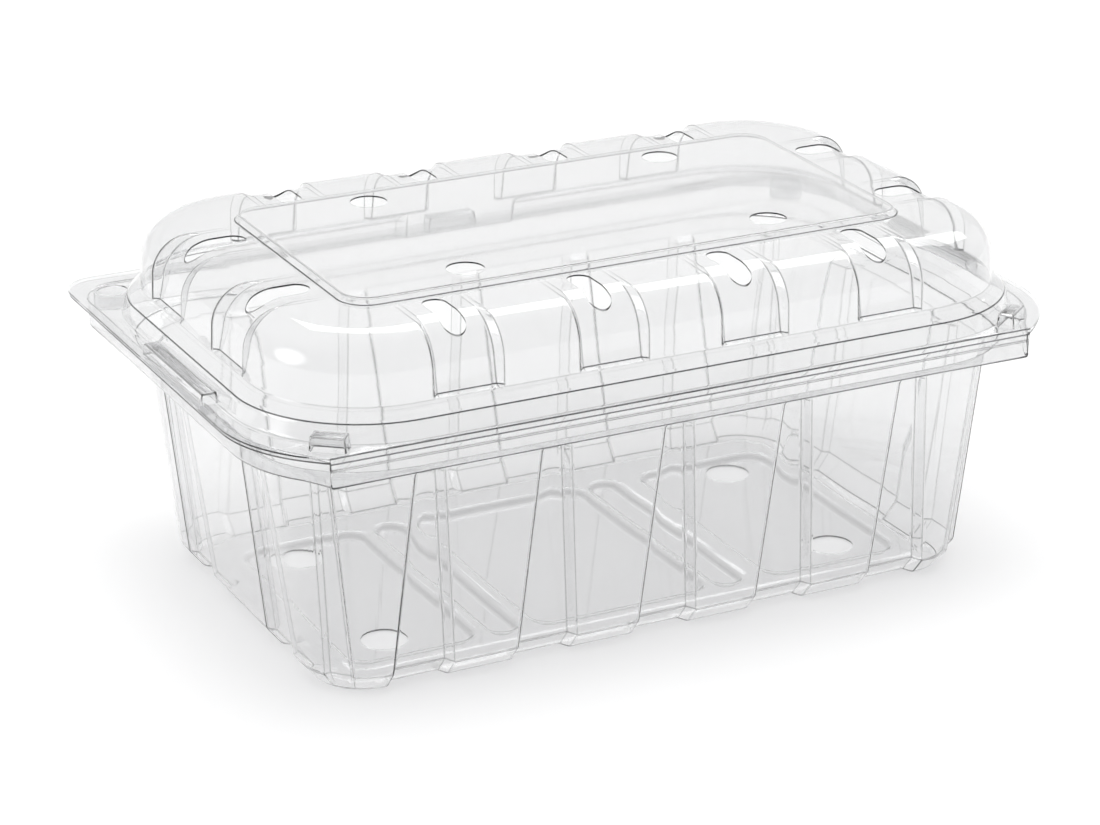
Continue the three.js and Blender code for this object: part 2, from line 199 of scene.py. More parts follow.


# A point of a grid is x, y, z and how dark the painted shade along a crease is there, from 0 to 1.
# Each line along axis 0 has a bend.
def roundAlong(grid, bends, closed):
    lines = []
    count = len(grid)
    for i, (radius, strength) in enumerate(bends):
        here = grid[i]
        if radius <= 0 or (not closed and i in (0, count - 1)):
            lines.append(here)
            continue
        starts, ways = [], []
        for other in (grid[i - 1], grid[(i + 1) % count]):
            way = other[:, :3] - here[:, :3]
            length = np.linalg.norm(way, axis=1, keepdims=True) + noLength
            ways.append(way / length)
            starts.append(here + (other - here) * np.minimum(radius / length, sheet["bendShare"]))
        cosine = np.clip(-np.sum(ways[0] * ways[1], axis=1), -1, 1)
        turn = np.degrees(np.arccos(cosine))
        folded = easeStep((turn - sheet["foldFrom"]) / (sheet["foldTo"] - sheet["foldFrom"]))
        for t in bendPlaces(radius):
            line = (1 - t) ** 2 * starts[0] + 2 * t * (1 - t) * here + t * t * starts[1]
            # the middle of each bend gets the painted dark line
            if t == 0.5:
                line[:, 3] = np.maximum(line[:, 3], strength * folded)
            lines.append(line)
    return np.array(lines)


def roundedGrid(rows, rowBends, columnBends):
    grid = np.array([[(*point, 0.0) for point in row] for row in rows])
    across = roundAlong(grid.transpose(1, 0, 2), columnBends, True)
    return roundAlong(across.transpose(1, 0, 2), rowBends, False)


# The sheets carry two measures of painted shade for their material: dark lines along creases on points, and
# on cut edges on faces.
def newSheet():
    bm = bmesh.new()
    bm.verts.layers.float.new("paintedCreaseShade")
    bm.faces.layers.float.new("cutEdgeShade")
    return bm


def addPoint(bm, x, y, z, paintedCreaseShade=0.0):
    vert = bm.verts.new((x * mm, y * mm, z * mm))
    vert[bm.verts.layers.float["paintedCreaseShade"]] = paintedCreaseShade
    return vert


def gridFaces(bm, grid, skip=None):
    rows = [[addPoint(bm, *point) for point in row] for row in grid]
    count = len(rows[0])
    for r in range(len(rows) - 1):
        for c in range(count):
            if skip and skip(r, c):
                continue
            n = (c + 1) % count
            bm.faces.new((rows[r][c], rows[r][n], rows[r + 1][n], rows[r + 1][c]))
    return rows


# Gives an open surface its second face, inward of the first, and closes it along its edges.
def thicken(bm, thickness):
    bm.normal_update()
    paintedCreaseShade, cutEdgeShade = bm.verts.layers.float["paintedCreaseShade"], bm.faces.layers.float["cutEdgeShade"]
    outer = list(bm.faces)
    twin = {}
    for v in list(bm.verts):
        twin[v] = bm.verts.new(v.co - v.normal * thickness * mm)
        twin[v][paintedCreaseShade] = v[paintedCreaseShade]
    openEdges = [e.link_loops[0] for e in bm.edges if e.is_boundary]
    pairs = [(loop.vert, loop.link_loop_next.vert) for loop in openEdges]
    for face in outer:
        bm.faces.new([twin[v] for v in reversed(face.verts)])
    for a, b in pairs:
        # the closing faces along the sheet's edge get its painted edge shade
        bm.faces.new((b, a, twin[a], twin[b]))[cutEdgeShade] = sheet["edgeShade"]


def makeObject(name, bm):
    bmesh.ops.remove_doubles(bm, verts=bm.verts, dist=weldDistance)
    bmesh.ops.recalc_face_normals(bm, faces=bm.faces)
    mesh = bpy.data.meshes.new(name)
    bm.to_mesh(mesh)
    bm.free()
    piece = bpy.data.objects.new(name, mesh)
    bpy.context.scene.collection.objects.link(piece)
    return piece


# Cuts or joins by one boolean with all the cutters as a single mesh. The cutters' faces carry the given
# painted shade for cut edges.
def cutWith(piece, cutters, operation="DIFFERENCE", cutEdgeShade=0.0):
    bm = newSheet()
    for loops in cutters:
        rings = [[addPoint(bm, *point) for point in loop] for loop in loops]
        for low, high in zip(rings, rings[1:]):
            for i in range(len(low)):
                n = (i + 1) % len(low)
                bm.faces.new((low[i], low[n], high[n], high[i]))
        bm.faces.new(reversed(rings[0]))
        bm.faces.new(rings[-1])
    for face in bm.faces:
        face[bm.faces.layers.float["cutEdgeShade"]] = cutEdgeShade
    tool = makeObject("cutter", bm)
    step = piece.modifiers.new("cut", "BOOLEAN")
    step.operation = operation
    step.solver = "MANIFOLD"
    step.object = tool
    graph = bpy.context.evaluated_depsgraph_get()
    done = bpy.data.meshes.new_from_object(piece.evaluated_get(graph))
    piece.modifiers.clear()
    old = piece.data
    piece.data = done
    bpy.data.meshes.remove(old)
    bpy.data.objects.remove(tool)


def roundedLoop(halfX, halfY, r, z, centre=(0, 0), steps=10):
    loop = []
    for sx, sy, start in ((-1, -1, 180), (1, -1, 270), (1, 1, 0), (-1, 1, 90)):
        for i in range(steps + 1):
            a = math.radians(start + 90 * i / steps)
            loop.append((
                centre[0] + sx * (halfX - r) + r * math.cos(a),
                centre[1] + sy * (halfY - r) + r * math.sin(a),
                z,
            ))
    return loop


# An upright cutter with round ends, or a round one, from one height to another.
def prism(halfX, halfY, heights, centre, steps=10):
    r = min(halfX, halfY) - sliver
    return [roundedLoop(halfX, halfY, r, z, centre, steps) for z in heights]


# Places of a thing that is there four times, once in each quarter.
def fourPlaces(x, y):
    return [(sx * x, sy * y) for sx in (-1, 1) for sy in (-1, 1)]


# A raised form with slanted sides and soft edges, from its foot upwards, turned about the vertical, with
# painted dark lines along the middle of its soft top edge and up its corners.
def slantedForm(form, shrink, foot, top):
    lean, soft, formShade, steps = form["lean"], form["soft"], form["paintedCreaseShade"], flangeForms["softSteps"]
    straight = lean * (1 - soft / (top - foot))
    side = [(0.0, foot, 0.0), (straight, top - soft, 0.0)]
    for i in range(1, steps + 1):
        a = math.pi / 2 * i / steps
        rowShade = formShade if i == steps // 2 else 0.0
        side.append((straight + soft * (1 - math.cos(a)), top - soft + soft * math.sin(a), rowShade))
    turn = Matrix.Rotation(math.radians(form["turn"]), 2)
    loops = []
    for inset, z, rowShade in side:
        halfX, halfY = (form[name] + lean - shrink - inset for name in ("halfX", "halfY"))
        r = max(form["r"] - shrink - inset, flangeForms["leastCorner"])
        loop = []
        for i, point in enumerate(roundedLoop(halfX, halfY, r, z, steps=steps)):
            cornerShade = formShade if i % (steps + 1) == steps // 2 and z > foot else 0.0
            x, y = turn @ Vector(point[:2])
            loop.append((form["x"] + x, form["y"] + y, z, max(rowShade, cornerShade)))
        loops.append(loop)
    return loops


def smoothSheet(piece):
    piece.data.polygons.foreach_set("use_smooth", [True] * len(piece.data.polygons))
    piece.data.set_sharp_from_angle(angle=math.radians(sheet["sharpFrom"]))


tub = {
    "foot": {"x": 75.7, "near": 44.3, "r": 11.0, "z": 0.0},
    "footInset": 1.0,
    "chamfer": {"x": 79.15, "near": 47.85, "r": 14.5, "z": 4.3},
    "wallTop": {"x": 84.9, "near": 52.0, "r": 20.6, "z": 49.6},
    "shoulder": {"x": 85.0, "near": 52.1, "r": 20.6, "z": 50.6},
    "ledge": {"x": 87.6, "near": 55.3, "r": 23.7, "z": 53.3},
    "flangeZ": 58.8,
    "leafTopZ": foldZ - sheet["foldGap"] / 2,
    "stripDepth": 3.6,  # above its leaf the tub is left open this far back from the hinge
    "flangeGap": 0.3,
    "rimGap": 0.12,  # room for the lid's leaf when it lies back on the rim
    # a groove's half width at its top and foot, its depth and how wide its slanted faces are;
    # round a corner the widths are in degrees
    "longGroove": {"count": 5, "pitch": 28.65, "halfTop": 3.3, "halfFoot": 6.9, "depth": 2.4, "face": 1.2},
    "endGroove": {"at": 22.5, "halfTop": 4.8, "halfFoot": 7.0, "depth": 1.6, "face": 1.2},
    "cornerGroove": {"halfTop": 6.0, "halfFoot": 13.0, "face": 3.0, "depth": 1.2},
    # each bend is its radius and how dark the painted shade along its crease is
    "grooveBend": (0.55, 0.3),
    "footBend": (0.7, 1.0),
    "chamferBend": (0.6, 0.5),
    "wallTopBend": (0.35, 0.35),
    "shoulderBend": (0.7, 0.2),
    "ledgeBend": (0.9, 0.9),
    "rimBend": (0.8, 0.9),
    "flangeBend": (0.6, 0.5),
}
floor = {
    "lift": 1.5,
    "field": {"x": 73.0, "y": 40.7, "r": 9.0, "run": 2.8},  # raised, with a flank this wide
    "pads": [(-67.0, -38.0), (-23.8, 18.2), (33.7, 66.6)],  # sunk again into the field, from x to x
    "bars": [(-34.4, -28.2), (20.6, 27.2)],
    "sunk": {"y": -2.2, "half": 31.6, "r": 4.5, "run": 1.8},  # their middle, half length, corners and flank
    "hole": {"x": 55.5, "y": 23.4, "r": 5.1, "cut": (-2.0, 6.0), "steps": 16},
    "flankShade": 0.2,  # how dark the painted shade on the flanks of the pads and bars is
    "fine": 0.42,  # spacing of the mesh across an edge, and between edges
    "coarse": 4.0,
    "edgeExtra": 0.1,  # the fine mesh reaches this much past a flank
    "footRoom": 0.5,  # the floor's own points keep this far in from the foot
    "leastGap": 0.8,  # and this share of the fine spacing from the walls' mesh
}


# Half the width of a groove, which narrows on its way up the wall.
def grooveHalf(g, z):
    low, high = tub["chamfer"]["z"], tub["wallTop"]["z"]
    height = min(max((z - low) / (high - low), 0), 1)
    return g["halfFoot"] + (g["halfTop"] - g["halfFoot"]) * height


def grooveSteps(centre, g):
    depth, face, bend = g["depth"], g["face"], tub["grooveBend"]
    return [
        {"at": lambda z: centre - grooveHalf(g, z), "push": 0.0, "bend": bend},
        {"at": lambda z: centre - grooveHalf(g, z) + face, "push": depth, "bend": bend},
        {"at": lambda z: centre + grooveHalf(g, z) - face, "push": depth, "bend": bend},
        {"at": lambda z: centre + grooveHalf(g, z), "push": 0.0, "bend": bend},
    ]


def tubColumns():
    g = tub["longGroove"]
    middle = (g["count"] - 1) / 2
    longSide = [s for i in range(g["count"]) for s in grooveSteps((i - middle) * g["pitch"], g)]
    e = tub["endGroove"]
    endSide = [s for at in (-e["at"], e["at"]) for s in grooveSteps(at, e)]
    k = tub["cornerGroove"]

    def edge(sign, off):
        return lambda z: 45 + sign * (grooveHalf(k, z) - off)

    def column(angle, push=0.0, bend=plain):
        return {"angle": angle, "push": push, "bend": bend}

    start, bend = edge(-1, 0), tub["grooveBend"]
    steps = sheet["arcSteps"] // 2 - 2
    corner = [column(lambda z, i=i: start(z) * i / steps) for i in range(steps)]
    corner += [
        column(start, bend=bend),
        column(edge(-1, k["face"]), k["depth"], bend),
        column(lambda z: 45, k["depth"]),
        column(edge(1, k["face"]), k["depth"], bend),
        column(edge(1, 0), bend=bend),
    ]
    corner += [column(lambda z, i=i: 90 - start(z) * i / steps) for i in reversed(range(steps))]
    return ringOfColumns(longSide, endSide, longSide, endSide, corner)


# Rows of the outer face, from inside the foot up to the edge of the flange.
def tubRows(columns):
    def wall(c):
        return c["push"]

    def foot(c):
        return c["push"] if "side" in c else 0.0

    def outline(part, inset=0.0):
        return evenOutline(part["x"], part["near"], part["r"], inset)

    t = tub
    edge = shrunk(sheet["flange"], t["flangeGap"])
    rows = [
        (outlineRow(columns, outline(t["foot"], t["footInset"]), 0.0, foot), plain),
        (outlineRow(columns, outline(t["foot"]), 0.0, foot), t["footBend"]),
        (outlineRow(columns, outline(t["chamfer"]), t["chamfer"]["z"], wall), t["chamferBend"]),
        (outlineRow(columns, outline(t["wallTop"]), t["wallTop"]["z"], wall), t["wallTopBend"]),
        (outlineRow(columns, outline(t["shoulder"]), t["shoulder"]["z"]), t["shoulderBend"]),
        (outlineRow(columns, outline(t["ledge"]), t["ledge"]["z"]), t["ledgeBend"]),
        (hingedRow(columns, sheet["rim"], t["ledge"]["z"], t["rimGap"]), t["rimBend"]),
        (hingedRow(columns, sheet["rim"], t["leafTopZ"], t["rimGap"]), plain),
        (hingedRow(columns, sheet["rim"], t["flangeZ"], t["rimGap"]), t["flangeBend"]),
        (hingedRow(columns, edge, t["flangeZ"]), plain),
    ]
    return [r for r, _ in rows], [bend for _, bend in rows]


def roundedBoxDistance(x, y, halfX, halfY, r):
    qx = np.abs(x) - (halfX - r)
    qy = np.abs(y) - (halfY - r)
    return np.hypot(np.maximum(qx, 0), np.maximum(qy, 0)) + np.minimum(np.maximum(qx, qy), 0) - r


# How high the floor stands at each point, and how dark the painted shade on its flanks is there.
def floorHeight(x, y):
    f, k = floor["field"], floor["sunk"]
    rise = easeStep(-roundedBoxDistance(x, y, f["x"], f["y"], f["r"]) / f["run"])
    distance = []
    for low, high in floor["pads"] + floor["bars"]:
        middle, half = (low + high) / 2, (high - low) / 2
        distance.append(roundedBoxDistance(x - middle, y - k["y"], half, k["half"], min(k["r"], half)))
    outside = easeStep(np.min(distance, axis=0) / k["run"] + 0.5)
    flank = 4 * outside * (1 - outside) * rise
    return floor["lift"] * rise * outside, floor["flankShade"] * flank ** 2


# Lines of the floor's mesh: close together across each edge and wide apart between them.
def gridLines(edges, fine, coarse):
    lines = []
    for v in sorted(v for low, high in edges for v in np.arange(low, high + tiny, fine)):
        if not lines or v - lines[-1] > fine / 2:
            lines.append(v)
    filled = []
    for a, b in zip(lines, lines[1:]):
        parts = max(1, math.ceil((b - a) / coarse))
        filled += [a + (b - a) * i / parts for i in range(parts)]
    return np.array(filled + [lines[-1]])


# Joins the floor to the innermost ring of the walls' mesh.
def fillFloor(bm, ring):
    f, k = floor["field"], floor["sunk"]
    spread, r = k["run"] / 2 + floor["edgeExtra"], k["r"]
    xEdges = [(-f["x"], -f["x"] + f["run"]), (f["x"] - f["run"], f["x"])]
    for low, high in floor["pads"]:
        xEdges += [(low - spread, low + r), (high - r, high + spread)]
    xEdges += [(low - spread, high + spread) for low, high in floor["bars"]]
    yEdges = [(-f["y"], k["y"] - k["half"] + r), (k["y"] + k["half"] - r, f["y"])]
    xs = gridLines(xEdges, floor["fine"], floor["coarse"])
    ys = gridLines(yEdges, floor["fine"], floor["coarse"])
    gx, gy = (a.ravel() for a in np.meshgrid(xs, ys))
    inset = tub["footInset"] + floor["footRoom"]
    foot = evenOutline(tub["foot"]["x"], tub["foot"]["near"], tub["foot"]["r"], inset)
    keep = roundedBoxDistance(gx, gy, foot["x"], foot["near"], foot["rNear"]) < 0
    border = np.array([[v.co.x / mm, v.co.y / mm] for v in ring])
    apart = np.hypot(gx[:, None] - border[None, :, 0], gy[:, None] - border[None, :, 1])
    keep &= np.min(apart, axis=1) > floor["fine"] * floor["leastGap"]
    points = [Vector((float(x), float(y))) for x, y in border]
    points += [Vector((float(x), float(y))) for x, y in zip(gx[keep], gy[keep])]
    count = len(border)
    loop = [(i, (i + 1) % count) for i in range(count)]
    found, _, faces, origins, _, _ = delaunay_2d_cdt(points, loop, [], 1, tiny)
    xy = np.array([[p.x, p.y] for p in found])
    verts = []
    for (x, y), z, shade, origin in zip(xy, *floorHeight(xy[:, 0], xy[:, 1]), origins):
        ringIndex = next((i for i in origin if i < count), None)
        verts.append(ring[ringIndex] if ringIndex is not None else addPoint(bm, x, y, z, shade))
    for face in faces:
        corners = [verts[i] for i in face]
        if len(set(corners)) == len(corners):
            bm.faces.new(reversed(corners))


def makeTub():
    columns = tubColumns()
    rows, bends = tubRows(columns)
    grid = roundedGrid(rows, bends, [c["bend"] for c in columns])
    half, back, top = sheet["hingeHalf"] + touch, hingeY + tub["stripDepth"], tub["leafTopZ"] - touch

    def overLeaf(r, c):
        nextC = (c + 1) % grid.shape[1]
        corners = [grid[r][c], grid[r][nextC], grid[r + 1][c], grid[r + 1][nextC]]
        return all(abs(x) <= half and y < back and z >= top for x, y, z, _ in corners)

    bm = newSheet()
    made = gridFaces(bm, grid, overLeaf)
    fillFloor(bm, made[0])
    bmesh.ops.delete(bm, geom=[v for v in bm.verts if not v.link_faces], context="VERTS")
    bmesh.ops.recalc_face_normals(bm, faces=bm.faces)
    low = min(bm.verts, key=lambda v: v.co.z)
    bm.normal_update()
    if low.normal.z > 0:  # the outer face looks down at its lowest point
        bmesh.ops.reverse_faces(bm, faces=bm.faces)
    thicken(bm, sheet["thickness"])
    piece = makeObject("tub_sheet", bm)
    h = floor["hole"]
    holes = [prism(h["r"], h["r"], h["cut"], at, h["steps"]) for at in fourPlaces(h["x"], h["y"])]
    cutWith(piece, holes, cutEdgeShade=1.0)
    smoothSheet(piece)
    return piece


# The ring and the dome are given by how far each part lies inside the ring's outline, and its height.
lid = {
    "flangeTop": 60.1,
    "ring": {"x": 89.9, "near": 57.25, "r": 28.6},
    "ringFootIn": -1.0,
    "ringTop": (0.0, 64.2),
    "domeFoot": (2.6, 66.0),
    "panelFoot": (3.05, 66.5),
    "panelEdge": (3.1, 67.0),
    "shoulder": {"in": 3.3, "r": 8.5, "steps": 20},
    "topZ": 80.3,
    "plateau": {"in": 23.7, "lift": 1.3, "run": 0.9, "r": 6.5, "rLoss": 0.6, "flatFrom": 1.0},
    "panelDepth": {"foot": 1.3, "waist": 2.1, "head": 3.4},
    "panelFace": 1.2,  # width of a panel's slanted side
    "longPanels": [(-57.2, -41.6), (-24.4, -8.6), (8.6, 24.4), (41.6, 57.2)],
    "endPanels": [(-25.5, -8.9), (8.9, 25.5)],
    # a slot runs outward between two distances from the middle
    "longSlot": {"in": 35.2, "out": 49.2, "half": 2.65, "cut": (68.0, 90.0)},
    "endSlot": {"in": 68.2, "out": 82.0, "half": 3.1, "cut": (68.0, 90.0)},
    "hole": {"x": 36.2, "y": 24.6, "r": 4.1, "cut": (70.0, 90.0), "steps": 14},
    # the recess behind the far latch, and the share of its depth from row to row
    "notch": {"half": 15.0, "depth": 3.0, "face": 1.5, "share": (1, 0.87, 0.1)},
    "cup": {"x": 86.6, "y": 52.6, "r": 3.6, "depth": 3.2, "steps": 12},
    "leafBottomZ": foldZ + sheet["foldGap"] / 2,
    # each bend is its radius and how dark the painted shade along its crease is
    "ringFootBend": (0.8, 0.2),
    "ringTopBend": (0.9, 1.0),
    "domeFootBend": (0.8, 0.3),
    "panelFootBend": (0.25, 0.15),
    "panelEdgeBend": (0.25, 0.9),
    "plateauFootBend": (0.45, 1.0),
    "plateauTopBend": (0.45, 0.4),
    "panelSideBend": (0.4, 0.5),
}
# The leaf's line, a slight step with painted shade on it, and its part below stand back from the hinge's
# plane.
leaf = {
    "topCreaseShade": 0.15,  # a painted dark line, this far down from the flange
    "topPlain": 0.35,
    "line": {"z": 58.6, "half": 0.2, "back": 0.08},
    "back": 0.2,
    "foot": 0.3,
    "footShade": 0.2,
}
# Low forms on the lid's flange; each is mirrored unless it stands in the middle.
# A form's crease value is how dark the painted shade along its edges is.
endLatch = {
    "x": 92.35, "y": -4.6, "halfX": 1.65, "halfY": 16.6, "turn": 0,
    "lift": 2.4, "lean": 0.4, "r": 0.7, "soft": 0.35, "paintedCreaseShade": 0.6,
}
farLatch = {
    "x": 0.0, "y": 60.4, "halfX": 5.8, "halfY": 1.5, "turn": 0,
    "lift": 2.6, "lean": 0.4, "r": 0.6, "soft": 0.35, "paintedCreaseShade": 0.5,
}
hingeBoss = {
    "x": 80.1, "y": -54.3, "halfX": 3.6, "halfY": 1.75, "turn": 37.7,
    "lift": 3.1, "lean": 0.3, "r": 0.6, "soft": 0.3, "paintedCreaseShade": 0.6,
}
flangeForms = {
    "softSteps": 4,
    "leastCorner": 0.05,
    "sink": 0.1,  # an outer form starts this far down in the flange
    "under": 0.6,  # and what is taken out of it, this far below the sheet
    "cupOver": 2.0,  # what is taken out of a cup ends this far above the flange
}


def lidColumns():
    face, bend = lid["panelFace"], lid["panelSideBend"]

    def panelSteps(panels):
        steps = []
        for a, b in panels:
            for at, cut in ((a, 0), (a + face, 1), (b - face, 1), (b, 0)):
                steps.append({"at": (lambda z, at=at: at), "cut": cut, "notch": 0, "bend": bend})
        return steps

    n = lid["notch"]
    far = panelSteps(lid["longPanels"])
    for side in (-1, 1):
        for at in (side * (n["half"] - n["face"]), side * n["half"]):
            far.append({"at": (lambda z, at=at: at), "cut": 0, "notch": 0, "bend": bend})
    for step in far:
        x = step["at"](0)
        if any(a < x < b for a, b in lid["longPanels"]):
            step["cut"] = 1
        if abs(x) < n["half"]:
            step["notch"] = 1
    steps = sheet["arcSteps"]
    corner = [
        {"angle": (lambda z, i=i: 90 * i / steps), "cut": 0, "notch": 0, "bend": plain}
        for i in range(steps + 1)
    ]
    longSide, endSide = panelSteps(lid["longPanels"]), panelSteps(lid["endPanels"])
    return ringOfColumns(longSide, endSide, far, endSide, corner)


# Rows of the outer face, from the edge of the flange up to the raised middle.
def lidRows(columns):
    depth, s, n, p = lid["panelDepth"], lid["shoulder"], lid["notch"], lid["plateau"]
    section = [
        (lid["ringFootIn"], lid["flangeTop"], 0, lid["ringFootBend"]),
        (*lid["ringTop"], 0, lid["ringTopBend"]),
        (*lid["domeFoot"], 0, lid["domeFootBend"]),
        (*lid["panelFoot"], 0, lid["panelFootBend"]),
        (*lid["panelEdge"], depth["foot"], lid["panelEdgeBend"]),
    ]
    middleZ = lid["topZ"] - s["r"]
    for i in range(s["steps"] + 1):
        a = math.pi / 2 * i / s["steps"]
        push = depth["waist"] + (depth["head"] - depth["waist"]) * i / s["steps"]
        section.append((s["in"] + s["r"] * (1 - math.cos(a)), middleZ + s["r"] * math.sin(a), push, plain))
    section += [
        (p["in"], lid["topZ"], 0, lid["plateauFootBend"]),
        (p["in"] + p["run"], lid["topZ"] + p["lift"], 0, lid["plateauTopBend"]),
        (p["in"] + p["run"] + p["flatFrom"], lid["topZ"] + p["lift"], 0, plain),
    ]
    rows = [hingedRow(columns, sheet["flange"], lid["flangeTop"])]
    bends = [plain]
    for i, (inset, z, push, bend) in enumerate(section):
        o = evenOutline(lid["ring"]["x"], lid["ring"]["near"], lid["ring"]["r"], inset)
        least = p["r"] - max(inset - p["in"], 0) * p["rLoss"]
        o["rNear"] = o["rFar"] = max(o["rNear"], least)
        notch = n["depth"] * (n["share"][i] if i < len(n["share"]) else 0)
        rows.append(outlineRow(columns, o, z, lambda c: c["cut"] * push + c["notch"] * notch))
        bends.append(bend)
    return rows, bends


# The lid's half of the hinge strip, turned down from the front of its flange, with a fine line along it: a
# slight step painted dark. Painted dark lines also run just under the flange and, fainter, at its foot.
def addLeaf(bm, edge):
    half, top, bottom, line = sheet["hingeHalf"] + touch, lid["flangeTop"], lid["leafBottomZ"], leaf["line"]
    front = [v for v in edge if abs(v.co.x) <= half * mm and v.co.y < (hingeY + touch) * mm]
    front.sort(key=lambda v: v.co.x)
    # each row is its height, how far it stands back, and how dark its painted shade is
    profile = [
        (top - leaf["topCreaseShade"], 0, 1),
        (top - leaf["topPlain"], 0, 0),
        (line["z"] + line["half"], 0, 0),
        (line["z"], line["back"], 1),
        (line["z"] - line["half"], leaf["back"], 0),
        (bottom + leaf["foot"], leaf["back"], 0),
        (bottom, leaf["back"], leaf["footShade"]),
    ]
    above = front
    for z, back, paintedCreaseShade in profile:
        below = [addPoint(bm, v.co.x / mm, v.co.y / mm + back, z, paintedCreaseShade) for v in front]
        for i in range(len(front) - 1):
            bm.faces.new((above[i], below[i], below[i + 1], above[i + 1]))
        above = below


# The solids of a form on the flange: its outer ones, or what is taken out of them.
def raised(form, inner):
    t, base = sheet["thickness"], lid["flangeTop"]
    shapes = []
    for side in (-1, 1) if form["x"] else (1,):
        here = {**form, "x": side * form["x"], "turn": side * form["turn"]}
        foot = base - t - flangeForms["under"] if inner else base - flangeForms["sink"]
        top = base + form["lift"] - (t if inner else 0)
        shapes.append(slantedForm(here, t if inner else 0, foot, top))
    return shapes


def addFlangeForms(piece):
    t, base = sheet["thickness"], lid["flangeTop"]
    c = lid["cup"]
    r, low = c["r"], base - c["depth"]
    outerForms, innerForms = [], []
    for form in (endLatch, farLatch, hingeBoss):
        outerForms += raised(form, False)
        innerForms += raised(form, True)
    for side in (-1, 1):
        at = (side * c["x"], c["y"])
        outerForms.append(prism(r + t, r + t, (low - t, base - flangeForms["sink"]), at, c["steps"]))
        innerForms.append(prism(r, r, (low, base + flangeForms["cupOver"]), at, c["steps"]))
    cutWith(piece, outerForms, "UNION")
    cutWith(piece, innerForms)


def cutLidVents(piece):
    h = lid["hole"]
    vents = [prism(h["r"], h["r"], h["cut"], at, h["steps"]) for at in fourPlaces(h["x"], h["y"])]
    for side in (-1, 1):
        for slot, panels in ((lid["longSlot"], lid["longPanels"]), (lid["endSlot"], lid["endPanels"])):
            middle, reach = side * (slot["in"] + slot["out"]) / 2, (slot["out"] - slot["in"]) / 2
            for a, b in panels:
                if slot is lid["endSlot"]:
                    vents.append(prism(reach, slot["half"], slot["cut"], (middle, (a + b) / 2)))
                else:
                    vents.append(prism(slot["half"], reach, slot["cut"], ((a + b) / 2, middle)))
    cutWith(piece, vents, cutEdgeShade=1.0)


def makeLid():
    columns = lidColumns()
    rows, bends = lidRows(columns)
    grid = roundedGrid(rows, bends, [c["bend"] for c in columns])
    bm = newSheet()
    made = gridFaces(bm, grid)
    bm.faces.new(made[-1])
    addLeaf(bm, made[0])
    bmesh.ops.recalc_face_normals(bm, faces=bm.faces)
    bm.normal_update()
    high = max(bm.faces, key=lambda f: f.calc_center_median().z)
    if high.normal.z < 0:  # the outer face looks up at its highest
        bmesh.ops.reverse_faces(bm, faces=bm.faces)
    thicken(bm, sheet["thickness"])
    piece = makeObject("lid_sheet", bm)
    addFlangeForms(piece)
    cutLidVents(piece)
    smoothSheet(piece)
    return piece


foldStrip = {
    "endGap": 0.1,  # ends this much short of the hinge strip
    "depth": 0.7,  # share of the sheet's thickness
    "rings": 9,
    # how dark the painted shade over the whole strip is
    "paintedCreaseShade": 0.15,
}


# The thin line along which the sheet bends, between the two leaves, with a light painted shade all over.
def makeFold():
    low, high = tub["leafTopZ"] + touch, lid["leafBottomZ"] - touch
    half = sheet["hingeHalf"] - foldStrip["endGap"]
    back = hingeY + sheet["thickness"] * foldStrip["depth"]
    bm = newSheet()
    rings = []
    for z in np.linspace(low, high, foldStrip["rings"]):
        corners = ((-half, hingeY), (half, hingeY), (half, back), (-half, back))
        rings.append([addPoint(bm, x, y, z, foldStrip["paintedCreaseShade"]) for x, y in corners])
    for a, b in zip(rings, rings[1:]):
        for i in range(4):
            bm.faces.new((a[i], a[(i + 1) % 4], b[(i + 1) % 4], b[i]))
    bm.faces.new(reversed(rings[0]))
    bm.faces.new(rings[-1])
    return makeObject("hinge_fold", bm)


# A maths node on two linked values.
def calc(tree, operation, a, b, clamp=False):
    node = tree.nodes.new("ShaderNodeMath")
    node.operation, node.use_clamp = operation, clamp
    tree.links.new(a, node.inputs[0])
    tree.links.new(b, node.inputs[1])
    return node.outputs[0]


cloudScale = 14.0  # the haze changes slowly across a whole sheet
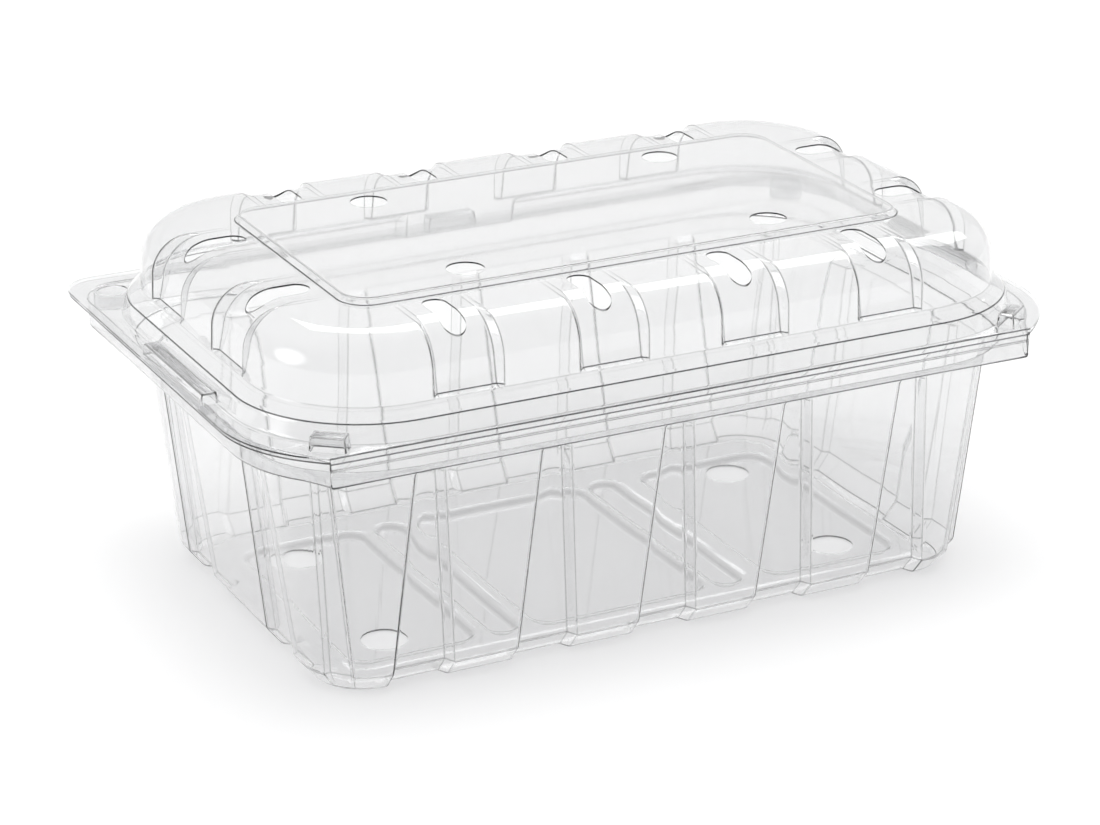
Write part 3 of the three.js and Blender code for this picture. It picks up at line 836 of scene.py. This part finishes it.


# How a formed clear sheet is coloured: painted shade as dark lines along its creases and cut edges, slow
# waves and a little haze.
def makeSheetShadeWavesHaze():
    group = bpy.data.node_groups.new("sheetShadeWavesHaze", "ShaderNodeTree")
    sockets = group.interface
    for name, kind, value in (
        ("Clear", "NodeSocketColor", (0.9, 0.9, 0.9, 1)),
        ("Clear Near Floor", "NodeSocketColor", (0.96, 0.96, 0.96, 1)),
        ("Clearer Below", "NodeSocketFloat", 0.008),
        # the colour of the painted shade, and its strength along creases and cut edges
        ("Painted Shade Colour", "NodeSocketColor", (0.1, 0.1, 0.1, 1)),
        ("Painted Crease Shade", "NodeSocketFloat", 1.0),
        ("Cut Edge Shade", "NodeSocketFloat", 0.5),
        ("Wave Scale", "NodeSocketFloat", 55.0),
        ("Polish", "NodeSocketFloat", 0.02),
        ("Haze", "NodeSocketFloat", 0.05),
    ):
        sockets.new_socket(name, in_out="INPUT", socket_type=kind).default_value = value
    for name, kind in (
        ("Tint", "NodeSocketColor"),
        ("Roughness", "NodeSocketFloat"),
        ("Wave", "NodeSocketFloat"),
    ):
        sockets.new_socket(name, in_out="OUTPUT", socket_type=kind)
    nodes, links = group.nodes, group.links
    given, result = nodes.new("NodeGroupInput"), nodes.new("NodeGroupOutput")

    def measure(name):
        node = nodes.new("ShaderNodeAttribute")
        node.attribute_name = name
        return node.outputs["Fac"]

    # painted shade: dark lines along creases and cut edges
    paintedCreaseShade = calc(group, "MULTIPLY", measure("paintedCreaseShade"), given.outputs["Painted Crease Shade"])
    cut = calc(group, "MULTIPLY", measure("cutEdgeShade"), given.outputs["Cut Edge Shade"])
    paintedShade = calc(group, "MAXIMUM", paintedCreaseShade, cut, clamp=True)
    place = nodes.new("ShaderNodeTexCoord").outputs["Object"]
    waves, cloud = nodes.new("ShaderNodeTexNoise"), nodes.new("ShaderNodeTexNoise")
    for noise in (waves, cloud):
        links.new(place, noise.inputs["Vector"])
        noise.inputs["Detail"].default_value = 1.0
    links.new(given.outputs["Wave Scale"], waves.inputs["Scale"])
    cloud.inputs["Scale"].default_value = cloudScale
    height = nodes.new("ShaderNodeSeparateXYZ")
    links.new(place, height.inputs[0])
    nearFloor = nodes.new("ShaderNodeMapRange")  # clearer towards the bottom, back to the usual clear by the given height
    nearFloor.inputs["To Min"].default_value, nearFloor.inputs["To Max"].default_value = 1.0, 0.0
    links.new(height.outputs["Z"], nearFloor.inputs["Value"])
    links.new(given.outputs["Clearer Below"], nearFloor.inputs["From Max"])

    def mixed(factor, a, b):
        node = nodes.new("ShaderNodeMix")
        node.data_type = "RGBA"
        links.new(factor, node.inputs["Factor"])
        links.new(a, node.inputs["A"])
        links.new(b, node.inputs["B"])
        return node.outputs["Result"]

    body = mixed(nearFloor.outputs["Result"], given.outputs["Clear"], given.outputs["Clear Near Floor"])
    # the tint is darkened by the painted shade
    links.new(mixed(paintedShade, body, given.outputs["Painted Shade Colour"]), result.inputs["Tint"])
    haze = calc(group, "MULTIPLY", cloud.outputs["Fac"], given.outputs["Haze"])
    links.new(calc(group, "ADD", haze, given.outputs["Polish"]), result.inputs["Roughness"])
    links.new(waves.outputs["Fac"], result.inputs["Wave"])
    return group


tubFinish = {
    "name": "tub clear sheet",
    "clear": (0.895, 0.897, 0.9),
    "clearNearFloor": (1.0, 1.0, 1.0),
    "clearerBelow": 0.008,
    # the painted shade along creases and cut edges: its colour and its strength on each
    "paintedShadeColour": (0.04, 0.04, 0.042),
    "paintedCreaseShade": 1.4,
    "cutEdgeShade": 0.75,
    "waveScale": 55.0,
    "waveHeight": 0.006,
    "polish": 0.015,
    "haze": 0.03,
    "ior": 1.57,
    "through": (0.89, 0.89, 0.892),  # what shadows and the floor's light keep on their way through
}
lidFinish = {
    **tubFinish,
    "name": "lid clear sheet",
    "clear": (0.885, 0.887, 0.89),
    "waveScale": 42.0,
    "waveHeight": 0.01,
}


# The sheet lets light through to what stands behind it, so shadows and the floor's own light pass it.
def clearSheetMaterial(finish, shadeWavesHaze):
    material = bpy.data.materials.new(finish["name"])
    material.use_nodes = True
    tree = material.node_tree
    nodes, links = tree.nodes, tree.links
    nodes.clear()
    out = nodes.new("ShaderNodeOutputMaterial")
    look = nodes.new("ShaderNodeGroup")
    look.node_tree = shadeWavesHaze
    for name, value in (
        ("Clear", (*finish["clear"], 1)),
        ("Clear Near Floor", (*finish["clearNearFloor"], 1)),
        ("Clearer Below", finish["clearerBelow"]),
        ("Painted Shade Colour", (*finish["paintedShadeColour"], 1)),
        ("Painted Crease Shade", finish["paintedCreaseShade"]),
        ("Cut Edge Shade", finish["cutEdgeShade"]),
        ("Wave Scale", finish["waveScale"]),
        ("Polish", finish["polish"]),
        ("Haze", finish["haze"]),
    ):
        look.inputs[name].default_value = value
    ripple = nodes.new("ShaderNodeBump")
    ripple.inputs["Distance"].default_value = finish["waveHeight"] * mm
    shader = nodes.new("ShaderNodeBsdfPrincipled")
    shader.inputs["IOR"].default_value = finish["ior"]
    shader.inputs["Transmission Weight"].default_value = 1.0
    links.new(look.outputs["Tint"], shader.inputs["Base Color"])
    links.new(look.outputs["Roughness"], shader.inputs["Roughness"])
    links.new(look.outputs["Wave"], ripple.inputs["Height"])
    links.new(ripple.outputs["Normal"], shader.inputs["Normal"])
    through = nodes.new("ShaderNodeBsdfTransparent")
    through.inputs["Color"].default_value = (*finish["through"], 1)
    path = nodes.new("ShaderNodeLightPath").outputs
    mix = nodes.new("ShaderNodeMixShader")
    links.new(calc(tree, "MAXIMUM", path["Is Shadow Ray"], path["Is Diffuse Ray"]), mix.inputs[0])
    links.new(shader.outputs[0], mix.inputs[1])
    links.new(through.outputs[0], mix.inputs[2])
    links.new(mix.outputs[0], out.inputs["Surface"])
    return material


camera = {
    "azimuth": -26.78,
    "elevation": 21.77,
    "roll": 0.05,
    "distance": 0.78065,
    "offset": (0.00363, -0.03168),
    "sensor": 36,
    "focalPixels": 3451.72,  # in a picture this many pixels wide
    "pictureWidth": 1100,
    "clip": (0.01, 50),
}


def makeCamera():
    a, e, roll = (math.radians(camera[k]) for k in ("azimuth", "elevation", "roll"))
    back = Vector((math.sin(a) * math.cos(e), -math.cos(a) * math.cos(e), math.sin(e)))
    right = Vector((math.cos(a), math.sin(a), 0))
    up = back.cross(right)
    right, up = right * math.cos(roll) + up * math.sin(roll), up * math.cos(roll) - right * math.sin(roll)
    tx, ty = camera["offset"]
    place = -right * tx - up * ty + back * camera["distance"]
    data = bpy.data.cameras.new("camera")
    data.sensor_width = camera["sensor"]
    data.lens = camera["sensor"] * camera["focalPixels"] / camera["pictureWidth"]
    data.clip_start, data.clip_end = camera["clip"]
    seen = bpy.data.objects.new("camera", data)
    turn = Matrix((right, up, back)).transposed().to_4x4()
    seen.matrix_world = Matrix.Translation(place) @ turn
    bpy.context.scene.collection.objects.link(seen)
    bpy.context.scene.camera = seen


studio = {
    # half its side and how far it lies below the tub, in metres
    "ground": {"size": 6, "below": 0.0003, "colour": (0.9, 0.9, 0.9), "roughness": 0.7, "specular": 0.1},
    "topLight": 1.42,  # even light from above, for the floor alone
    "topSpread": 36.0,
    "front": 0.62,  # the room is dimmer on the camera's side
    "back": 0.95,
    "turnsOver": 0.4,
    "left": 0.68,  # and to the left, where it turns over between two directions
    "leftFrom": -0.95,
    "leftTo": -0.35,
    "glow": {"way": (-0.935, 0.14, 0.326), "from": 0.935, "to": 0.99, "strength": 2.6},
    "softbox": {"place": (0.62, 0.62, 0.97), "size": (1.3, 0.62), "power": 5.6},  # for reflections alone
}


def makeSoftbox():
    box = studio["softbox"]
    data = bpy.data.lights.new("softbox", "AREA")
    data.shape = "RECTANGLE"
    data.size, data.size_y = box["size"]
    data.energy = box["power"]
    lamp = bpy.data.objects.new("softbox", data)
    lamp.location = box["place"]
    lamp.rotation_euler = Vector(box["place"]).to_track_quat("Z", "Y").to_euler()
    lamp.visible_diffuse = False
    bpy.context.scene.collection.objects.link(lamp)


# A white room, dimmer in front and on the left, with a small round lamp that has a soft edge.
def makeRoom():
    world = bpy.data.worlds.new("studio")
    bpy.context.scene.world = world
    world.use_nodes = True
    tree = world.node_tree
    nodes, links = tree.nodes, tree.links
    way = nodes.new("ShaderNodeTexCoord").outputs["Generated"]
    parts = nodes.new("ShaderNodeSeparateXYZ")
    links.new(way, parts.inputs[0])

    def ramp(value, low, high, dim, bright):
        node = nodes.new("ShaderNodeMapRange")
        node.interpolation_type = "SMOOTHSTEP"
        for name, given in (("From Min", low), ("From Max", high), ("To Min", dim), ("To Max", bright)):
            node.inputs[name].default_value = given
        links.new(value, node.inputs["Value"])
        return node.outputs["Result"]

    glow, turn = studio["glow"], studio["turnsOver"]
    towards = nodes.new("ShaderNodeVectorMath")
    towards.operation = "DOT_PRODUCT"
    towards.inputs[1].default_value = glow["way"]
    links.new(way, towards.inputs[0])
    depth = ramp(parts.outputs["Y"], -turn, turn, studio["front"], studio["back"])
    across = ramp(parts.outputs["X"], studio["leftFrom"], studio["leftTo"], studio["left"], 1)
    lamp = ramp(towards.outputs["Value"], glow["from"], glow["to"], 0, glow["strength"])
    strength = calc(tree, "ADD", calc(tree, "MULTIPLY", depth, across), lamp)
    links.new(strength, nodes["Background"].inputs["Strength"])
    nodes["Background"].inputs["Color"].default_value = (1, 1, 1, 1)


# Pale from above and clear from below, so that the underside can be seen.
def makeGround():
    given = studio["ground"]
    bm = bmesh.new()
    bmesh.ops.create_grid(bm, x_segments=2, y_segments=2, size=given["size"])
    ground = makeObject("ground", bm)
    ground.location.z = -given["below"]
    material = bpy.data.materials.new("ground")
    material.use_nodes = True
    nodes, links = material.node_tree.nodes, material.node_tree.links
    shader = nodes["Principled BSDF"]
    shader.inputs["Base Color"].default_value = (*given["colour"], 1)
    shader.inputs["Roughness"].default_value = given["roughness"]
    shader.inputs["Specular IOR Level"].default_value = given["specular"]
    clear, side = nodes.new("ShaderNodeBsdfTransparent"), nodes.new("ShaderNodeNewGeometry")
    mix = nodes.new("ShaderNodeMixShader")
    links.new(side.outputs["Backfacing"], mix.inputs[0])
    links.new(shader.outputs[0], mix.inputs[1])
    links.new(clear.outputs[0], mix.inputs[2])
    links.new(mix.outputs[0], nodes["Material Output"].inputs["Surface"])
    ground.data.materials.append(material)


def makeTopLight():
    data = bpy.data.lights.new("top", "SUN")
    data.energy, data.angle = studio["topLight"], math.radians(studio["topSpread"])
    lamp = bpy.data.objects.new("top", data)
    lamp.visible_glossy = lamp.visible_transmission = False
    bpy.context.scene.collection.objects.link(lamp)


# Many clear faces lie behind one another, so light gets many turns.
def setScene():
    scene = bpy.context.scene
    scene.view_settings.view_transform = "Standard"
    scene.cycles.max_bounces = 20
    scene.cycles.transmission_bounces = 20
    scene.cycles.transparent_max_bounces = 32
    scene.cycles.glossy_bounces = 16


makeCamera()
print("camera set")
tubSheet = makeTub()
print("tub", len(tubSheet.data.polygons))
lidSheet = makeLid()
print("lid", len(lidSheet.data.polygons))
fold = makeFold()
print("fold", len(fold.data.polygons))

shadeWavesHaze = makeSheetShadeWavesHaze()
tubClear, lidClear = clearSheetMaterial(tubFinish, shadeWavesHaze), clearSheetMaterial(lidFinish, shadeWavesHaze)
for piece, material in ((tubSheet, tubClear), (lidSheet, lidClear), (fold, lidClear)):
    piece.data.materials.clear()
    piece.data.materials.append(material)
print("sheets finished")
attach(tubSheet, "tub")
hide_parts("tub")
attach(lidSheet, "lid")
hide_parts("lid")
foldStart = (0, hingeY * mm, tub["leafTopZ"] * mm)
foldEnd = (0, hingeY * mm, lid["leafBottomZ"] * mm)
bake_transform(fold, "tub", "lid", start=foldStart, end=foldEnd)

makeGround()
makeRoom()
makeTopLight()
makeSoftbox()
setScene()
print("stage lit")
